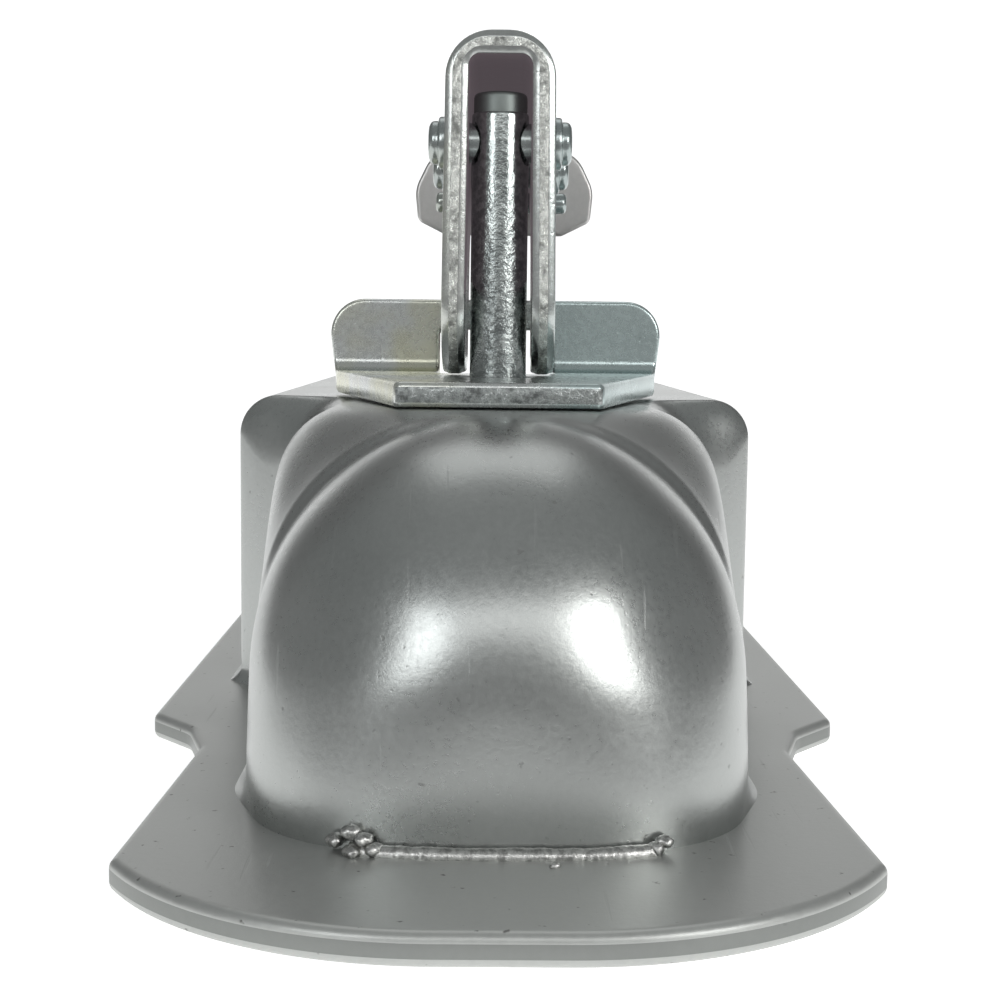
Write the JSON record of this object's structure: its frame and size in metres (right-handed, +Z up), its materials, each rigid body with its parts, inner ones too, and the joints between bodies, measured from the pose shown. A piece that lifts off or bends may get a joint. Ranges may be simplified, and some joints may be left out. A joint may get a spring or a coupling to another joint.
{
  "type": "trailer ball coupler",
  "caption": "Straight-tongue pressed-steel trailer coupler with a domed ball socket, a sprung under-ball clamp and a lever latch with a finger trigger.",
  "frame": {"origin": "on the ball's vertical axis, at the base plane (underside of the flange)", "axes": "+X to the right seen from the front, +Y back towards the trailer, +Z up; the nose points to -Y"},
  "size_m": [0.1244, 0.3112, 0.1259],
  "materials": {
    "zinc_pressing": "satin zinc plating, slightly mottled",
    "bright_zinc": "bright zinc plating with sheared edges",
    "pin_steel": "plated, riveted heads",
    "trigger_steel": "dark plated",
    "weld_metal": "plated weld metal",
    "spring_steel": "drawn wire"
  },
  "bodies": {
    "coupler": {"coupler_shell": "zinc_pressing", "base_flange": "zinc_pressing", "front_weld_bead": "weld_metal", "socket_cup": "zinc_pressing", "latch_plate": "bright_zinc", "clamp_rest_bar": "pin_steel", "clamp_spring": "spring_steel"},
    "stem": {"clamp_stem": "bright_zinc", "stem_washer": "bright_zinc", "adjusting_nut": "bright_zinc"},
    "lever": {"latch_lever": "bright_zinc", "lever_pin": "pin_steel", "trigger_pin": "pin_steel", "stop_pin": "pin_steel", "trigger_spring": "spring_steel"},
    "trigger": {"trigger_bar": "trigger_steel", "finger_plate": "bright_zinc"},
    "clamp": {"ball_clamp": "zinc_pressing"}
  },
  "joints": [
    {"name": "stem_drop", "type": "slide", "parent": "coupler", "child": "stem", "axis": [0, 0, -1], "range_m": [0, 0.0098], "deforming": ["clamp_spring"]},
    {"name": "lever_open", "type": "hinge", "parent": "stem", "child": "lever", "pos_m": [0, 0.0385, 0.1075], "axis": [1, 0, 0], "range_deg": [0, 70]},
    {"name": "trigger_squeeze", "type": "hinge", "parent": "lever", "child": "trigger", "pos_m": [0, 0.0555, 0.1044], "axis": [1, 0, 0], "range_deg": [0, 5], "stiffness_Nm_per_rad": 0.6, "springref_deg": -14.32, "deforming": ["trigger_spring"]},
    {"name": "clamp_swing", "type": "hinge", "parent": "coupler", "child": "clamp", "pos_m": [0, 0.088, 0.024], "axis": [1, 0, 0], "range_deg": [0, 11.2]}
  ],
  "couplings": [
    {"joint": "stem_drop", "follows": "lever_open", "m_per_rad": 0.008},
    {"joint": "clamp_swing", "follows": "lever_open", "ratio": 0.159}
  ]
}
